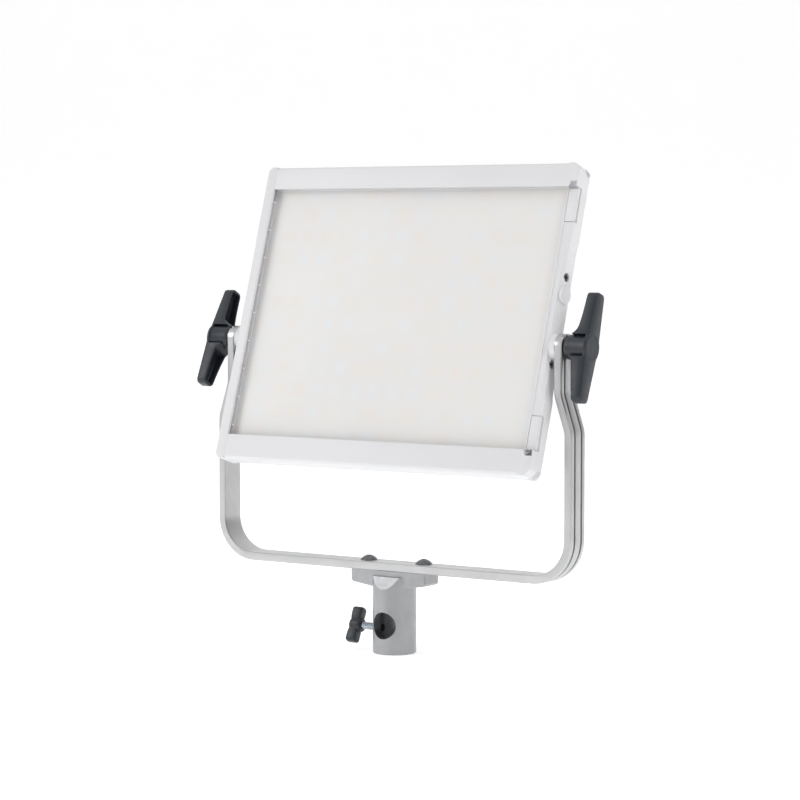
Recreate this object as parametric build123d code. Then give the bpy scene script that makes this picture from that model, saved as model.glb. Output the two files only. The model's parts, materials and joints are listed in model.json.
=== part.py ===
"""LED panel light: a tilting light head in a flat-bar yoke on a stand receiver.

Frame: millimetres, +Z up, +X to the right seen from the lit side, and the light shines towards -Y.
The origin is the centre of the receiver's lower mouth, where a stand's spigot enters.
The head is drawn upright about its tilt axis and then leaned back by head_tilt_deg.
"""
import os
from math import cos, radians, sin

from build123d import *

# ---- driving dimensions, millimetres and degrees ----
head_width = 391.0
head_height = 323.0
frame_depth = 26.0
rail_width = 13.3
top_bar_height = 24.5
bottom_bar_height = 26.0
lip_thickness = 3.0
slot_width = 5.0
slot_depth = 9.0
side_wall_recess = 3.0
side_recess_top = 84.0
side_recess_bottom = -84.0
side_recess_chamfer = 3.3
bolt_back = 3.2
corner_chamfer = 6.5
diffuser_front = 9.4
diffuser_thickness = 2.0

pivot_below_centre = 27.0
pivot_behind_front = 14.0
side_hole_offset = 45.0
side_hole_radius = 4.8

housing_half_width = 160.0
housing_half_height = 126.0
housing_depth = 40.0
housing_wall = 3.0
plate_thickness = 2.0

bar_width = 27.0
bar_thickness = 8.5
yoke_half_width = 219.5
joggle = 12.0
joggle_top_below_pivot = 47.0
joggle_bottom_below_pivot = 84.0
yoke_bend_radius = 45.0
pivot_height = 322.4
head_tilt_deg = 17.8

receiver_radius = 22.6
receiver_bore_radius = 14.4
receiver_relief_radius = 15.0
receiver_land_top = 16.0
receiver_bore_depth = 62.0
cross_hole_radius = 14.0
cross_hole_height = 30.4
lock_stud_height = 25.0
flange_length = 93.0
flange_width = 25.5
yoke_underside = 86.0

stud_radius = 3.9
thread_hole_radius = 4.0
bush_bore_radius = 4.2
pivot_hole_radius = 6.0
insert_length = 7.5
bush_radius = 5.5

handle_length = 112.0
handle_face = 235.0
handle_hub_radius = 14.5
handle_neck_radius = 12.0
right_handle_turn = 18.0
left_handle_turn = 28.0
lock_knob_turn = 25.0

# ---- worked out from the above ----
half_width = head_width / 2
half_height = head_height / 2
rail_inner = half_width - rail_width
recessed_side = half_width - side_wall_recess
arm_outer = yoke_half_width - joggle
arm_inner = arm_outer - bar_thickness
face_gap = 0.2
slot_back = lip_thickness + slot_width
housing_back = frame_depth + housing_depth
upper_edge = half_height - top_bar_height
lower_edge = -half_height + bottom_bar_height
spare_pivot_up = pivot_below_centre


# ---- helpers ----
def span_box(x0, x1, y0, y1, z0, z1):
    """A box between two corners."""
    size = Box(x1 - x0, y1 - y0, z1 - z0)
    return Pos((x0 + x1) / 2, (y0 + y1) / 2, (z0 + z1) / 2) * size


def rod(start, direction, length, radius):
    """A cylinder from a start point along a direction."""
    base = Plane(origin=start, z_dir=direction)
    return base * Cylinder(radius, length, align=(Align.CENTER, Align.CENTER, Align.MIN))


def prism(plane, points, thickness):
    """A polygon on a plane, given as flat points, extruded along the plane's normal."""
    outline = plane * make_face(Polyline(*points, close=True).edges())
    return extrude(outline, amount=thickness)


def head_box(x0, x1, depth0, depth1, up0, up1):
    """A box on the upright head: depth runs back from the front face, up from the head's centre."""
    y_shift = -pivot_behind_front
    z_shift = pivot_below_centre
    return span_box(x0, x1, depth0 + y_shift, depth1 + y_shift, up0 + z_shift, up1 + z_shift)


def head_point(x, depth, up):
    """A point on the upright head."""
    return (x, depth - pivot_behind_front, up + pivot_below_centre)


def place_head(shape):
    """Lean an upright head piece back and lift it to the tilt axis."""
    return Pos(0, 0, pivot_height) * Rot(-head_tilt_deg, 0, 0) * shape


def place_pivot(shape, turn_deg=0.0):
    """Lift a piece drawn about the tilt axis to its height, turned about that axis."""
    return Pos(0, 0, pivot_height) * Rot(-turn_deg, 0, 0) * shape


def group(pieces):
    """Separate solids kept together in one node."""
    solids = []
    for piece in pieces:
        solids.extend(piece.solids())
    return Compound(children=solids)


def save(shape, name):
    """Write one node's STEP file."""
    os.makedirs("parts", exist_ok=True)
    export_step(shape, f"parts/{name}.step")


# ---- yoke and receiver ----
def yoke_bar():
    """Flat bar bent to a U, its arms stepped in towards the head, two grooves along the outer face."""
    groove_width = 3.2
    groove_depth = 2.6
    groove_offset = 6.5
    edge_chamfer = 0.8
    middle = yoke_half_width - bar_thickness / 2
    upper = middle - joggle
    base = yoke_underside + bar_thickness / 2
    arm_top = pivot_height + bar_width / 2
    step_top = pivot_height - joggle_top_below_pivot
    step_bottom = pivot_height - joggle_bottom_below_pivot
    right = [(upper, arm_top), (upper, step_top), (middle, step_bottom), (middle, base)]
    left = [(-x, z) for x, z in reversed(right)]
    route = [(x, 0, z) for x, z in right + left]
    bend = yoke_bend_radius - bar_thickness / 2
    path = FilletPolyline(*route, radius=[26, 26, bend, bend, 26, 26])
    half_w = bar_width / 2
    half_t = bar_thickness / 2
    flat = Rectangle(bar_thickness, bar_width)
    flat = chamfer(flat.vertices(), edge_chamfer)
    for side in (-1, 1):
        flat -= Pos(half_t, side * groove_offset) * Rectangle(2 * groove_depth, groove_width)
    start = Plane(origin=(upper, 0, arm_top), x_dir=(1, 0, 0), z_dir=(0, 0, -1))
    bar = sweep(start * flat, path=path)
    for side in (-1, 1):
        x0 = side * upper - bar_thickness
        corner = span_box(x0, x0 + 2 * bar_thickness, -half_w - 1, half_w + 1, pivot_height, arm_top + 1)
        corner -= rod((x0, 0, pivot_height), (1, 0, 0), 2 * bar_thickness, half_w)
        bar -= corner
        bar -= rod((x0, 0, pivot_height), (1, 0, 0), 2 * bar_thickness, bush_radius)
    for x in bolt_positions():
        bar -= rod((x, bolt_back, yoke_underside - 1), (0, 0, 1), bar_thickness + 2, 5.3)
    return bar


def bolt_positions():
    """The receiver bolts' distances from the middle of the bar."""
    return (-34.3, 34.3)


def yoke_bushes():
    """A plain bush in each arm's pivot hole."""
    bushes = []
    for side in (-1, 1):
        start = (min(side * arm_inner, side * arm_outer), 0, pivot_height)
        bush = rod(start, (1, 0, 0), bar_thickness, bush_radius)
        bush -= rod(start, (1, 0, 0), bar_thickness, bush_bore_radius)
        bushes.append(bush)
    return group(bushes)


def stand_receiver():
    """A round receiver: a blind spigot bore, a front cross hole, a lock-screw hole, a bolted flange."""
    half_l = flange_length / 2
    half_w = flange_width / 2
    ledge_height = 80.3
    facet_start = 67.5
    body = rod((0, 0, 0), (0, 0, 1), ledge_height, receiver_radius)
    body = chamfer(body.edges().sort_by(Axis.Z)[0], 1.2)
    for side in (-1, 1):
        facet = [
            (side * (receiver_radius + 0.3), facet_start),
            (side * 16.0, ledge_height),
            (side * 16.0, ledge_height + 2),
            (side * (receiver_radius + 2), ledge_height + 2),
            (side * (receiver_radius + 2), facet_start),
        ]
        body -= prism(Plane.YZ.offset(-30), facet, 60)
    side_profile = [
        (0, 69.5),
        (20, 69.5),
        (half_l - 2.5, 73.0),
        (half_l, 75.5),
        (half_l, yoke_underside),
        (0, yoke_underside),
    ]
    mirrored = [(-x, z) for x, z in reversed(side_profile[1:-1])]
    outline = side_profile[:-1] + mirrored + side_profile[:1]
    flange = prism(Plane.XZ.offset(-half_w), outline[:-1], flange_width)
    upright = flange.edges().filter_by(Axis.Z)
    flange = fillet(upright, 2.0)
    body += flange
    body -= rod((0, 0, -1), (0, 0, 1), receiver_land_top + 1, receiver_bore_radius)
    relief_depth = receiver_bore_depth - receiver_land_top
    body -= rod((0, 0, receiver_land_top), (0, 0, 1), relief_depth, receiver_relief_radius)
    reach = receiver_radius + 2
    body -= rod((0, -reach, cross_hole_height), (0, 1, 0), reach, cross_hole_radius)
    body -= rod((-reach, 0, lock_stud_height), (1, 0, 0), reach, thread_hole_radius)
    for x in bolt_positions():
        body -= rod((x, bolt_back, 60), (0, 0, 1), 40, 5.0)
    return body


def receiver_bolts():
    """Two button-head bolts that hold the bar to the receiver's flange."""
    head_radius = 9.3
    dome_height = 5.2
    shank_radius = 4.95
    bar_top = yoke_underside + bar_thickness
    sphere_radius = (head_radius**2 + dome_height**2) / (2 * dome_height)
    bolts = []
    for x in bolt_positions():
        shank = rod((x, bolt_back, yoke_underside - 10.0), (0, 0, 1), 10.0 + bar_thickness, shank_radius)
        ball = Pos(x, bolt_back, bar_top + dome_height - sphere_radius) * Sphere(sphere_radius)
        dome = ball & rod((x, bolt_back, bar_top), (0, 0, 1), dome_height, head_radius)
        socket = Pos(x, bolt_back, bar_top + dome_height - 3.0) * RegularPolygon(3.2, 6)
        dome -= extrude(socket, amount=4)
        bolts.append(shank + dome)
    return group(bolts)


# ---- lock screw ----
def lock_stud():
    """The lock screw's threaded stud, turning in the receiver's wall."""
    start = (-44.0, 0, lock_stud_height)
    return rod(start, (1, 0, 0), 44.0 - 18.3, stud_radius)


def lock_pad():
    """The loose nose piece that presses on a spigot without turning."""
    start = (-18.2, 0, lock_stud_height)
    pad = rod(start, (1, 0, 0), 3.1, stud_radius)
    return chamfer(pad.edges().sort_by(Axis.X)[-1], 0.5)


def lock_knob():
    """A small moulded wing knob on the lock stud."""
    wing_thickness = 7.6
    wing_length = 38.0
    outline = RectangleRounded(wing_thickness, wing_length, 3.7)
    wings = extrude(Plane.YZ.offset(-54.5) * outline, amount=11.0)
    hub = rod((-54.0, 0, 0), (1, 0, 0), 14.0, 7.5)
    hub = chamfer(hub.edges().sort_by(Axis.X)[-1], 1.0)
    waist = [(-4.6, -6.0), (4.6, -6.0), (4.6, 6.0), (-4.6, 6.0)]
    wings += prism(Plane.YZ.offset(-54.5), waist, 12.0)
    knob = wings + hub
    knob -= rod((-44.0, 0, 0), (1, 0, 0), 8.0, stud_radius)
    return Pos(0, 0, lock_stud_height) * Rot(-lock_knob_turn, 0, 0) * knob


# ---- head frame ----
def rail_blank(side, front_chamfer=3.0):
    """One side rail before its details: outer chamfers, the shallow recess in its outer face."""
    x_in = rail_inner
    outline = [
        (x_in, 0),
        (half_width - front_chamfer, 0),
        (half_width, front_chamfer),
        (half_width, frame_depth - 4.0),
        (half_width - 4.0, frame_depth),
        (x_in, frame_depth),
    ]
    plane = Plane(origin=head_point(0, 0, -half_height), x_dir=(1, 0, 0), z_dir=(0, 0, 1))
    rail = prism(plane, outline, head_height)
    slope = 10.0
    recess = [
        (recessed_side, side_recess_bottom + slope),
        (half_width + 1, side_recess_bottom - slope / 3),
        (half_width + 1, side_recess_top + slope / 3),
        (recessed_side, side_recess_top - slope),
    ]
    face = Plane(origin=head_point(0, frame_depth + 1, 0), x_dir=(1, 0, 0), z_dir=(0, -1, 0))
    rail -= prism(face, recess, frame_depth + 2)
    rail -= corner_cuts()
    if side < 0:
        rail = mirror(rail, about=Plane.YZ)
    return rail


def corner_cuts():
    """The right side's chamfered upper and lower corners."""
    cuts = []
    face = Plane(origin=head_point(0, frame_depth + 1, 0), x_dir=(1, 0, 0), z_dir=(0, -1, 0))
    for side in (-1, 1):
        corner = [
            (half_width - corner_chamfer, side * half_height),
            (half_width + 1, side * (half_height - corner_chamfer - 1)),
            (half_width + 1, side * (half_height + 1)),
            (half_width - corner_chamfer, side * (half_height + 1)),
        ]
        cuts.append(prism(face, corner, frame_depth + 2))
    return cuts


def strap_tunnel(up_side):
    """An L-shaped loop tunnel through a right-hand corner, for a strap or a safety cord."""
    up = up_side * (half_height - 6.0)
    bend_x = half_width - 6.5
    depth = 18.0
    radius = 4.3
    sideways = rod(head_point(bend_x, depth, up), (1, 0, 0), 12, radius)
    outwards = rod(head_point(bend_x, depth, up), (0, 0, up_side), 12, radius)
    return sideways + outwards + Pos(*head_point(bend_x, depth, up)) * Sphere(radius)


def diffuser_seat(side):
    """The groove in a side member that the diffuser's edge and the parts behind it sit in."""
    x0 = min(side * (rail_inner - 1), side * (rail_inner + 1.5))
    x1 = max(side * (rail_inner - 1), side * (rail_inner + 1.5))
    reach = 1.6
    return head_box(x0, x1, diffuser_front - 0.4, frame_depth - 5, lower_edge - reach, upper_edge + reach)


def side_holes(side):
    """The side screws' recessed holes, the pivot insert's hole and the spare pivot's hole."""
    cuts = []
    for up in (-side_hole_offset, side_hole_offset):
        start = head_point(side * (recessed_side - 3.0), pivot_behind_front, up)
        cuts.append(rod(start, (side, 0, 0), 8, side_hole_radius))
        cuts.append(rod(head_point(side * (rail_inner - 1), pivot_behind_front, up), (side, 0, 0), 14, 2.0))
    for up in (-pivot_below_centre, spare_pivot_up):
        start = head_point(side * (recessed_side - insert_length), pivot_behind_front, up)
        cuts.append(rod(start, (side, 0, 0), 16, pivot_hole_radius))
    return cuts


def right_rail():
    """The right rail: its front stands back so an accessory frame slides in across it."""
    rail = rail_blank(1)
    face_back = slot_back - 1.5
    rail -= head_box(rail_inner - 1, half_width + 1, -1, face_back, lower_edge - 0.2, upper_edge + 0.2)
    rail -= head_box(rail_inner - 1, half_width + 1, -1, frame_depth + 1, upper_edge, half_height + 1)
    rail -= head_box(rail_inner - 1, half_width + 1, -1, frame_depth + 1, -half_height - 1, lower_edge)
    for side in (-1, 1):
        rail -= gate_pocket(side)
    rail += head_box(rail_inner, rail_inner + 1.2, face_back - 1.0, face_back, lower_edge, upper_edge)
    rail -= recess_chamfer(face_back)
    for side in (-1, 1):
        rail -= gate_pin(side)
    rail -= diffuser_seat(1)
    rail -= side_holes(1)
    return rail


def recess_chamfer(depth):
    """The slanted cut that widens the recess towards the right rail's front face."""
    slope = 10.0
    reach = 8.0
    along = (1, 1, 0)
    outline = [
        (0, side_recess_bottom + slope),
        (reach, side_recess_bottom - slope),
        (reach, side_recess_top + slope),
        (0, side_recess_top - slope),
    ]
    corner = head_point(recessed_side - side_recess_chamfer - reach, depth - reach, 0)
    plane = Plane(origin=corner, x_dir=(1, -1, 0), z_dir=along)
    return prism(plane, [(x, -up) for x, up in outline], 4 * reach)


def gate_bounds(up_side):
    """A gate's lower and upper ends along the rail."""
    gate_length = 34.5
    if up_side > 0:
        top = upper_edge - 1.0
        return (top - gate_length, top)
    bottom = lower_edge + 1.0
    return (bottom, bottom + gate_length)


def gate_pocket(up_side):
    """The pocket in the rail's front face that a folded gate lies in."""
    low, high = gate_bounds(up_side)
    front = slot_back - 2.5
    pocket = head_box(rail_inner + 1.2, half_width + 1, front, front + 5.4, low - 0.6, high + 0.6)
    return pocket


def right_corner(up_side):
    """A moulded corner block that closes the right rail's end and holds one gate pin."""
    block = rail_blank(1, 0.8)
    if up_side > 0:
        block -= head_box(rail_inner - 1, half_width + 1, -1, frame_depth + 1, -half_height - 1, upper_edge)
        slot_span = (upper_edge - 1, upper_edge + 7)
        mouth_edge = upper_edge
    else:
        block -= head_box(rail_inner - 1, half_width + 1, -1, frame_depth + 1, lower_edge, half_height + 1)
        slot_span = (lower_edge - 7, lower_edge + 1)
        mouth_edge = lower_edge
    block -= head_box(rail_inner - 1, half_width - 2.5, lip_thickness, slot_back, *slot_span)
    mouth = [
        (rail_inner + 1.5, mouth_edge - up_side * 0.1),
        (rail_inner + 4.5, mouth_edge + up_side * 6.0),
        (half_width - 0.9, mouth_edge + up_side * 6.0),
        (half_width - 0.9, mouth_edge - up_side * 0.1),
    ]
    face = Plane(origin=head_point(0, slot_back, 0), x_dir=(1, 0, 0), z_dir=(0, -1, 0))
    block -= prism(face, mouth, slot_back + 1)
    block -= diffuser_seat(1)
    block -= strap_tunnel(up_side)
    block -= gate_pin(up_side)
    return block


def left_rail():
    """The left rail: full length, with a ribbed slot behind its front lip for an accessory's edge."""
    rail = rail_blank(-1)
    slot_bottom = -half_width + 4.0
    low = lower_edge - 7
    high = upper_edge + 7
    rail -= head_box(slot_bottom, -rail_inner + 1, lip_thickness, slot_back, low, high)
    rib_pitch = 31.0
    for step in range(-4, 5):
        up = step * rib_pitch
        rib = head_box(slot_bottom, -rail_inner, slot_back - 3.0, slot_back, up - 0.8, up + 0.8)
        rail += rib
    rail -= diffuser_seat(-1)
    rail -= side_holes(-1)
    return rail


def cross_bar(up_side, edge):
    """The top or bottom bar: a front lip, an accessory slot behind it and a ledge for the diffuser."""
    outer = up_side * half_height
    low = min(outer, edge)
    high = max(outer, edge)
    bar = head_box(-rail_inner, rail_inner, 0, frame_depth, low, high)
    outer_edges = bar.edges().filter_by(Axis.X).sort_by(Axis.Z)
    picked = outer_edges[-2:] if up_side > 0 else outer_edges[:2]
    bar = chamfer(picked, 2.5)
    slot_low = min(edge - up_side, edge + up_side * slot_depth)
    slot_high = max(edge - up_side, edge + up_side * slot_depth)
    bar -= head_box(-rail_inner - 1, rail_inner + 1, lip_thickness, slot_back, slot_low, slot_high)
    seat_low = min(edge - up_side, edge + up_side * 1.6)
    seat_high = max(edge - up_side, edge + up_side * 1.6)
    seat_front = diffuser_front - 0.4
    bar -= head_box(-rail_inner - 1, rail_inner + 1, seat_front, frame_depth - 5, seat_low, seat_high)
    hollow_low = min(edge + up_side * 4, outer - up_side * 3)
    hollow_high = max(edge + up_side * 4, outer - up_side * 3)
    bar -= head_box(-rail_inner - 1, rail_inner + 1, slot_back + 3, frame_depth - 3, hollow_low, hollow_high)
    return bar


# ---- gates ----
gate_axis_x = half_width - 2.6
gate_axis_depth = slot_back
gate_barrel_radius = 2.0
gate_pin_radius = 1.0


def gate_pin(up_side):
    """The pin on which a gate turns, from the corner block into the rail."""
    low, high = gate_bounds(up_side)
    if up_side > 0:
        start = low - 4.0
    else:
        start = low - 5.0
    foot = head_point(gate_axis_x, gate_axis_depth, start)
    return rod(foot, (0, 0, 1), high - low + 9.0, gate_pin_radius)


def accessory_gate(up_side):
    """A folded retaining flap: a thin plate with a barrel along its outer edge."""
    low, high = gate_bounds(up_side)
    plate_back = gate_axis_depth
    plate = head_box(rail_inner + 1.5, gate_axis_x, plate_back - 2.0, plate_back, low, high)
    barrel = rod(head_point(gate_axis_x, gate_axis_depth, low), (0, 0, 1), high - low, gate_barrel_radius)
    gate = plate + barrel
    bore_radius = gate_pin_radius + 0.08
    bore = rod(head_point(gate_axis_x, gate_axis_depth, low - 1), (0, 0, 1), high - low + 2, bore_radius)
    return gate - bore


# ---- light engine ----
def diffuser_sheet():
    """The opal sheet that the light leaves through."""
    edge = 1.2
    back = diffuser_front + diffuser_thickness
    half_x = rail_inner + edge
    return head_box(-half_x, half_x, diffuser_front, back, lower_edge - edge, upper_edge + edge)


def ring(outer_x, up_low, up_high, depth0, depth1, wall):
    """A rectangular ring with walls of one thickness."""
    outside = head_box(-outer_x, outer_x, depth0, depth1, up_low, up_high)
    inside_x = outer_x - wall
    return outside - head_box(-inside_x, inside_x, depth0 - 1, depth1 + 1, up_low + wall, up_high - wall)


def diffuser_gasket():
    """A foam ring behind the diffuser's edge."""
    back = diffuser_front + diffuser_thickness
    return ring(rail_inner - 0.5, lower_edge + 0.5, upper_edge - 0.5, back, back + 1.5, 5.0)


def mixing_frame():
    """A white tapered frame that carries light from the LED board to the diffuser."""
    front_depth = diffuser_front + diffuser_thickness + 1.5
    back_depth = frame_depth
    wall = 2.0

    front_x = rail_inner - 1 - wall
    front_up = (upper_edge - lower_edge) / 2 - 1 - wall
    back_x = housing_half_width - 5 - wall
    back_up = housing_half_height - 5 - wall

    def funnel(grow, front, back):
        front_face = Rectangle(2 * (front_x + grow), 2 * (front_up + grow))
        back_face = Rectangle(2 * (back_x + grow), 2 * (back_up + grow))
        middle = (upper_edge + lower_edge) / 2
        near = Plane(origin=head_point(0, front, middle), x_dir=(1, 0, 0), z_dir=(0, -1, 0))
        far = Plane(origin=head_point(0, back, 0), x_dir=(1, 0, 0), z_dir=(0, -1, 0))
        return loft([near * front_face, far * back_face])

    return funnel(wall, front_depth, back_depth) - funnel(0, front_depth - 0.01, back_depth + 0.01)


led_front = frame_depth + 1.0
board_thickness = 1.6
sink_front = led_front + board_thickness
sink_base = 3.4
fin_height = 14.0


def led_board():
    """The aluminium circuit board that the emitters sit on."""
    half_x = housing_half_width - 5
    half_up = housing_half_height - 5
    return head_box(-half_x, half_x, led_front, led_front + board_thickness, -half_up, half_up)


def led_emitters():
    """Rows of small square emitters, warm and cool in turn."""
    columns = 12
    rows = 10
    pitch = 24.0
    size = 3.5
    chips = []
    for column in range(columns):
        for row in range(rows):
            x = (column - (columns - 1) / 2) * pitch
            up = (row - (rows - 1) / 2) * pitch
            half = size / 2
            chips.append(head_box(x - half, x + half, led_front - 0.7, led_front, up - half, up + half))
    return group(chips)


def heatsink():
    """A finned plate behind the LED board."""
    half_x = housing_half_width - 5
    half_up = housing_half_height - 5
    base_back = sink_front + sink_base
    sink = head_box(-half_x, half_x, sink_front, base_back, -half_up, half_up)
    fin_count = 21
    pitch = (2 * half_x - 6) / (fin_count - 1)
    for index in range(fin_count):
        x = -half_x + 3 + index * pitch
        sink += head_box(x - 0.9, x + 0.9, base_back, base_back + fin_height, -60, half_up)
    return sink


def heatsink_screws():
    """Screws that hold the board and the heatsink to bosses in the housing."""
    screws = []
    for x in (-140, 0, 140):
        for up in (-112, -68):
            back = sink_front + sink_base
            shank = rod(head_point(x, back, up), (0, 1, 0), 6.0, 1.5)
            head = rod(head_point(x, back, up), (0, 1, 0), 2.0, 3.0)
            screws.append(shank + head)
    return group(screws)


# ---- rear housing and its controls ----
def rear_plate():
    """A flat plate that closes the frame behind and carries the rear housing."""
    edge = 4.0
    plate = head_box(
        -rail_inner - edge,
        rail_inner + edge,
        frame_depth,
        frame_depth + plate_thickness,
        lower_edge - edge,
        upper_edge + edge,
    )
    in_x = housing_half_width - housing_wall
    in_up = housing_half_height - housing_wall
    plate -= head_box(-in_x, in_x, frame_depth - 1, frame_depth + plate_thickness + 1, -in_up, in_up)
    for x, up in housing_screw_places():
        plate -= rod(head_point(x, frame_depth - 1, up), (0, 1, 0), 4, 1.7)
    return plate


def rear_housing():
    """The rear shell: a vented box with a flat control field."""
    front = frame_depth + plate_thickness
    low = -housing_half_height
    high = housing_half_height
    shell = head_box(-housing_half_width, housing_half_width, front, housing_back, low, high)
    back_edges = shell.faces().sort_by(Axis.Y)[-1].edges()
    shell = fillet(back_edges, 8.0)
    shell = fillet(shell.edges().filter_by(Axis.Y), 6.0)
    in_x = housing_half_width - housing_wall
    in_up = housing_half_height - housing_wall
    shell -= head_box(-in_x, in_x, front - 1, housing_back - housing_wall, -in_up, in_up)
    shell -= vent_slots()
    shell -= control_cutouts()
    return shell


def vent_slots():
    """Slots through the back and the upper side of the shell."""
    cuts = []
    for index in range(17):
        x = (index - 8) * 16.0
        cuts.append(head_box(x - 1.7, x + 1.7, housing_back - 5, housing_back + 1, 10.0, 104.0))
    return cuts


control_up = -72.0
knob_spacing = 62.0
control_knob_radius = 11.0
knob_shaft_radius = 3.0
button_places = (-20.0, 0.0, 20.0)
button_up = -100.0
button_half = 5.0
display_half_x = 33.0
display_low = -84.0
display_high = -46.0
switch_x = -132.0
switch_half_x = 7.0
switch_half_up = 11.0
rocker_angle = 7.0
rocker_axis_out = 0.2
inlet_x = 122.0
inlet_up = -94.0
data_x = -132.0
data_places = (-20.0, 20.0)


def control_cutouts():
    """Openings in the back for the display, buttons, knobs, switch and sockets."""
    front = housing_back - 5
    back = housing_back + 1
    cuts = [head_box(-display_half_x, display_half_x, front, back, display_low, display_high)]
    for x in button_places:
        gap = button_half + 0.3
        cuts.append(head_box(x - gap, x + gap, front, back, button_up - gap + 1.5, button_up + gap - 1.5))
    for side in (-1, 1):
        cuts.append(rod(head_point(side * knob_spacing, front, control_up), (0, 1, 0), 8, 4.5))
    cuts.append(
        head_box(
            switch_x - switch_half_x,
            switch_x + switch_half_x,
            front,
            back,
            button_up - switch_half_up,
            button_up + switch_half_up,
        )
    )
    cuts.append(rod(head_point(inlet_x, front, inlet_up), (0, 1, 0), 8, 11.0))
    for up in data_places:
        cuts.append(rod(head_point(data_x, front, up), (0, 1, 0), 8, 11.0))
    return cuts


def housing_screw_places():
    """Where screws hold the shell's flange to the frame."""
    places = []
    for x in (-178, 178):
        for up in (-100, 0, 100):
            places.append((x, up))
    return places


def housing_screws():
    """Cap screws through the shell's flange."""
    screws = []
    for x, up in housing_screw_places():
        head = rod(head_point(x, frame_depth + 2.0, up), (0, 1, 0), 2.2, 3.2)
        shank = rod(head_point(x, frame_depth, up), (0, 1, 0), 2.0, 1.7)
        screws.append(head + shank)
    return group(screws)


def driver_board():
    """The power board behind the heatsink's lower part, with its larger components."""
    front = sink_front + sink_base + 6.0
    board = head_box(-150, 150, front, front + 1.6, -118, -66)
    tall = [(-110, -92, 14, 9), (-70, -90, 12, 12), (60, -88, 14, 10), (104, -90, 9, 14)]
    for x, up, half_x, half_up in tall:
        board += head_box(x - half_x, x + half_x, front + 1.6, front + 6.5, up - half_up, up + half_up)
    return board


def control_board():
    """The small board that carries the display, the encoders and the switches."""
    front = housing_back - 16.5
    return head_box(-100, 100, front, front + 1.6, -112, -40)


def display_module():
    """The display behind its window."""
    back = housing_back - housing_wall
    half_x = display_half_x + 2
    return head_box(-half_x, half_x, back - 4, back - 0.2, display_low - 2, display_high + 2)


def display_window():
    """The clear window, flush with the back."""
    back = housing_back
    clear = 0.1
    return head_box(
        -display_half_x + clear,
        display_half_x - clear,
        back - 2.8,
        back,
        display_low + clear,
        display_high - clear,
    )


def control_knob(x):
    """A round knob with a grip of shallow flutes, on a short shaft."""
    gap = 0.8
    body = rod(head_point(x, housing_back + gap, control_up), (0, 1, 0), 13.0, control_knob_radius)
    body = chamfer(body.edges().sort_by(Axis.Y)[-1], 1.2)
    flute_count = 18
    for index in range(flute_count):
        angle = 360 / flute_count * index
        flute_x = x + (control_knob_radius + 0.6) * cos(radians(angle))
        flute_up = control_up + (control_knob_radius + 0.6) * sin(radians(angle))
        body -= rod(head_point(flute_x, housing_back, flute_up), (0, 1, 0), 20, 1.2)
    shaft = rod(head_point(x, housing_back - 8.0, control_up), (0, 1, 0), 9.0, knob_shaft_radius)
    body += shaft
    mark_depth = housing_back + gap + 12.4
    mark = head_box(x - 0.5, x + 0.5, mark_depth, mark_depth + 7, control_up + 4, control_up + 9)
    return body - mark


def encoder_bushes():
    """The threaded necks in which the two knobs' shafts turn."""
    bushes = []
    for side in (-1, 1):
        start = head_point(side * knob_spacing, housing_back - 8.0, control_up)
        neck = rod(start, (0, 1, 0), 8.4, 4.5)
        nut_seat = rod(start, (0, 1, 0), 4.6, 6.5)
        neck += nut_seat
        neck -= rod(start, (0, 1, 0), 9.0, knob_shaft_radius + 0.08)
        bushes.append(neck)
    return group(bushes)


def push_button(x):
    """A rectangular button cap standing a little out of the back."""
    half_up = button_half - 1.5
    low = button_up - half_up
    high = button_up + half_up
    cap = head_box(x - button_half, x + button_half, housing_back - 6, housing_back + 1.6, low, high)
    cap = fillet(cap.faces().sort_by(Axis.Y)[-1].edges(), 0.6)
    return cap


def switch_body():
    """The power switch's frame, with a hollow for its rocker."""
    half_x = switch_half_x
    half_up = switch_half_up
    low = button_up - half_up
    high = button_up + half_up
    body = head_box(switch_x - half_x, switch_x + half_x, housing_back - 12, housing_back, low, high)
    rim = head_box(
        switch_x - half_x - 1.5,
        switch_x + half_x + 1.5,
        housing_back,
        housing_back + 1.4,
        low - 1.5,
        high + 1.5,
    )
    body += rim
    hollow = head_box(
        switch_x - half_x + 1.8,
        switch_x + half_x - 1.8,
        housing_back - 8,
        housing_back + 3,
        low + 1.8,
        high - 1.8,
    )
    return body - hollow


def switch_rocker():
    """The rocker, on at rest: its lower half is pressed in."""
    half_x = switch_half_x - 2.2
    half_long = switch_half_up - 2.6
    top = [(-half_long, 2.2), (0, 0.6), (half_long, 2.2)]
    underside = [(half_long - 1.5, -3.0), (0, -4.4), (1.5 - half_long, -3.0)]
    outline = top + underside
    plane = Plane(origin=(-half_x, 0, 0), x_dir=(0, 0, 1), z_dir=(1, 0, 0))
    flat = [(up, -out) for up, out in outline]
    rocker = Rot(rocker_angle, 0, 0) * prism(plane, flat, 2 * half_x)
    return Pos(*head_point(switch_x, housing_back + rocker_axis_out, button_up)) * rocker


def round_socket(x, up):
    """A flush round locking connector: a square-cornered plate, an insert and small contact holes."""
    barrel = rod(head_point(x, housing_back - 14, up), (0, 1, 0), 14, 11.0)
    plate = head_box(x - 13, x + 13, housing_back, housing_back + 1.6, up - 15.5, up + 15.5)
    plate = fillet(plate.edges().filter_by(Axis.Y), 2.5)
    body = barrel + plate
    groove = rod(head_point(x, housing_back - 3, up), (0, 1, 0), 6, 10.0)
    groove -= rod(head_point(x, housing_back - 3, up), (0, 1, 0), 4.6, 8.6)
    body -= groove
    return body


def data_sockets():
    """Two control-data connectors, in and out."""
    sockets = []
    for up in data_places:
        socket = round_socket(data_x, up)
        for index in range(5):
            angle = radians(-54 + 63 * index)
            pin_x = data_x + 5.0 * sin(angle)
            pin_up = up + 5.0 * cos(angle)
            socket -= rod(head_point(pin_x, housing_back - 8, pin_up), (0, 1, 0), 12, 1.2)
        sockets.append(socket)
    return group(sockets)


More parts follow.
